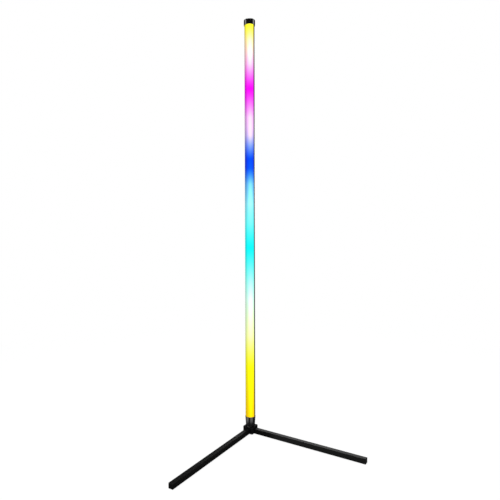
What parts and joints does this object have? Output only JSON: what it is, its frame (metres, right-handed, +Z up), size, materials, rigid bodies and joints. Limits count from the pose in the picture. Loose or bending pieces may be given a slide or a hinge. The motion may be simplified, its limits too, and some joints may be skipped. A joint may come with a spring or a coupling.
{
  "type": "corner floor lamp",
  "caption": "Slim upright light pole with a milky diffuser and aluminium channel, turning by hand on a V-shaped floor base with square legs.",
  "frame": {"origin": "on the pole's axis at floor level, in the middle of the hub's rubber pad", "axes": "+Z up along the pole; -Y towards the open side of the V between the legs; +X to the right leg's side seen from the front"},
  "size_m": [0.5098, 0.2765, 1.2],
  "materials": {
    "gloss_black": "glossy moulded",
    "black_plastic": "fine moulded grain",
    "leg_paint": "satin powder coat",
    "black_aluminium": "satin black anodised, extruded",
    "milky_diffuser": "milky translucent, lit from inside",
    "pad_rubber": "matte",
    "steel": "zinc plated",
    "brass": "turned",
    "nylon": "natural",
    "strip_white": "white solder mask",
    "light_chip": "moulded resin",
    "foam_tape": "closed cell foam",
    "green_board": "solder mask",
    "pale_insulation": "smooth",
    "red_insulation": "smooth"
  },
  "bodies": {
    "base": {"base_hub": "black_plastic", "hub_cover": "black_plastic", "hub_cover_screws": "steel", "hub_pad": "pad_rubber", "right_leg": "leg_paint", "left_leg": "leg_paint", "leg_screws": "steel", "right_leg_plug": "black_plastic", "left_leg_plug": "black_plastic", "right_leg_pad": "pad_rubber", "left_leg_pad": "pad_rubber", "slide_washer": "nylon", "clamp_washer": "steel"},
    "pole": {"spring_washer": "steel", "pole_bolt": "steel", "pole_foot": "gloss_black", "foot_insert": "brass", "foot_screws": "steel", "pole_channel": "black_aluminium", "diffuser": "milky_diffuser", "top_cap": "gloss_black", "light_strip": "strip_white", "light_chips": "light_chip", "board_tape": "foam_tape", "controller_board": "green_board", "board_parts": "black_plastic", "radio_receiver": "green_board", "board_plug": "nylon", "strip_lead": "pale_insulation", "inlet_lead": "red_insulation", "power_inlet": "black_plastic", "inlet_pin": "brass", "inlet_tabs": "brass", "inlet_nut": "steel"}
  },
  "joints": [
    {"name": "pole_turn", "type": "hinge", "parent": "base", "child": "pole", "pos_m": [0, 0, 0.0202], "axis": [0, 0, 1], "continuous": true}
  ]
}
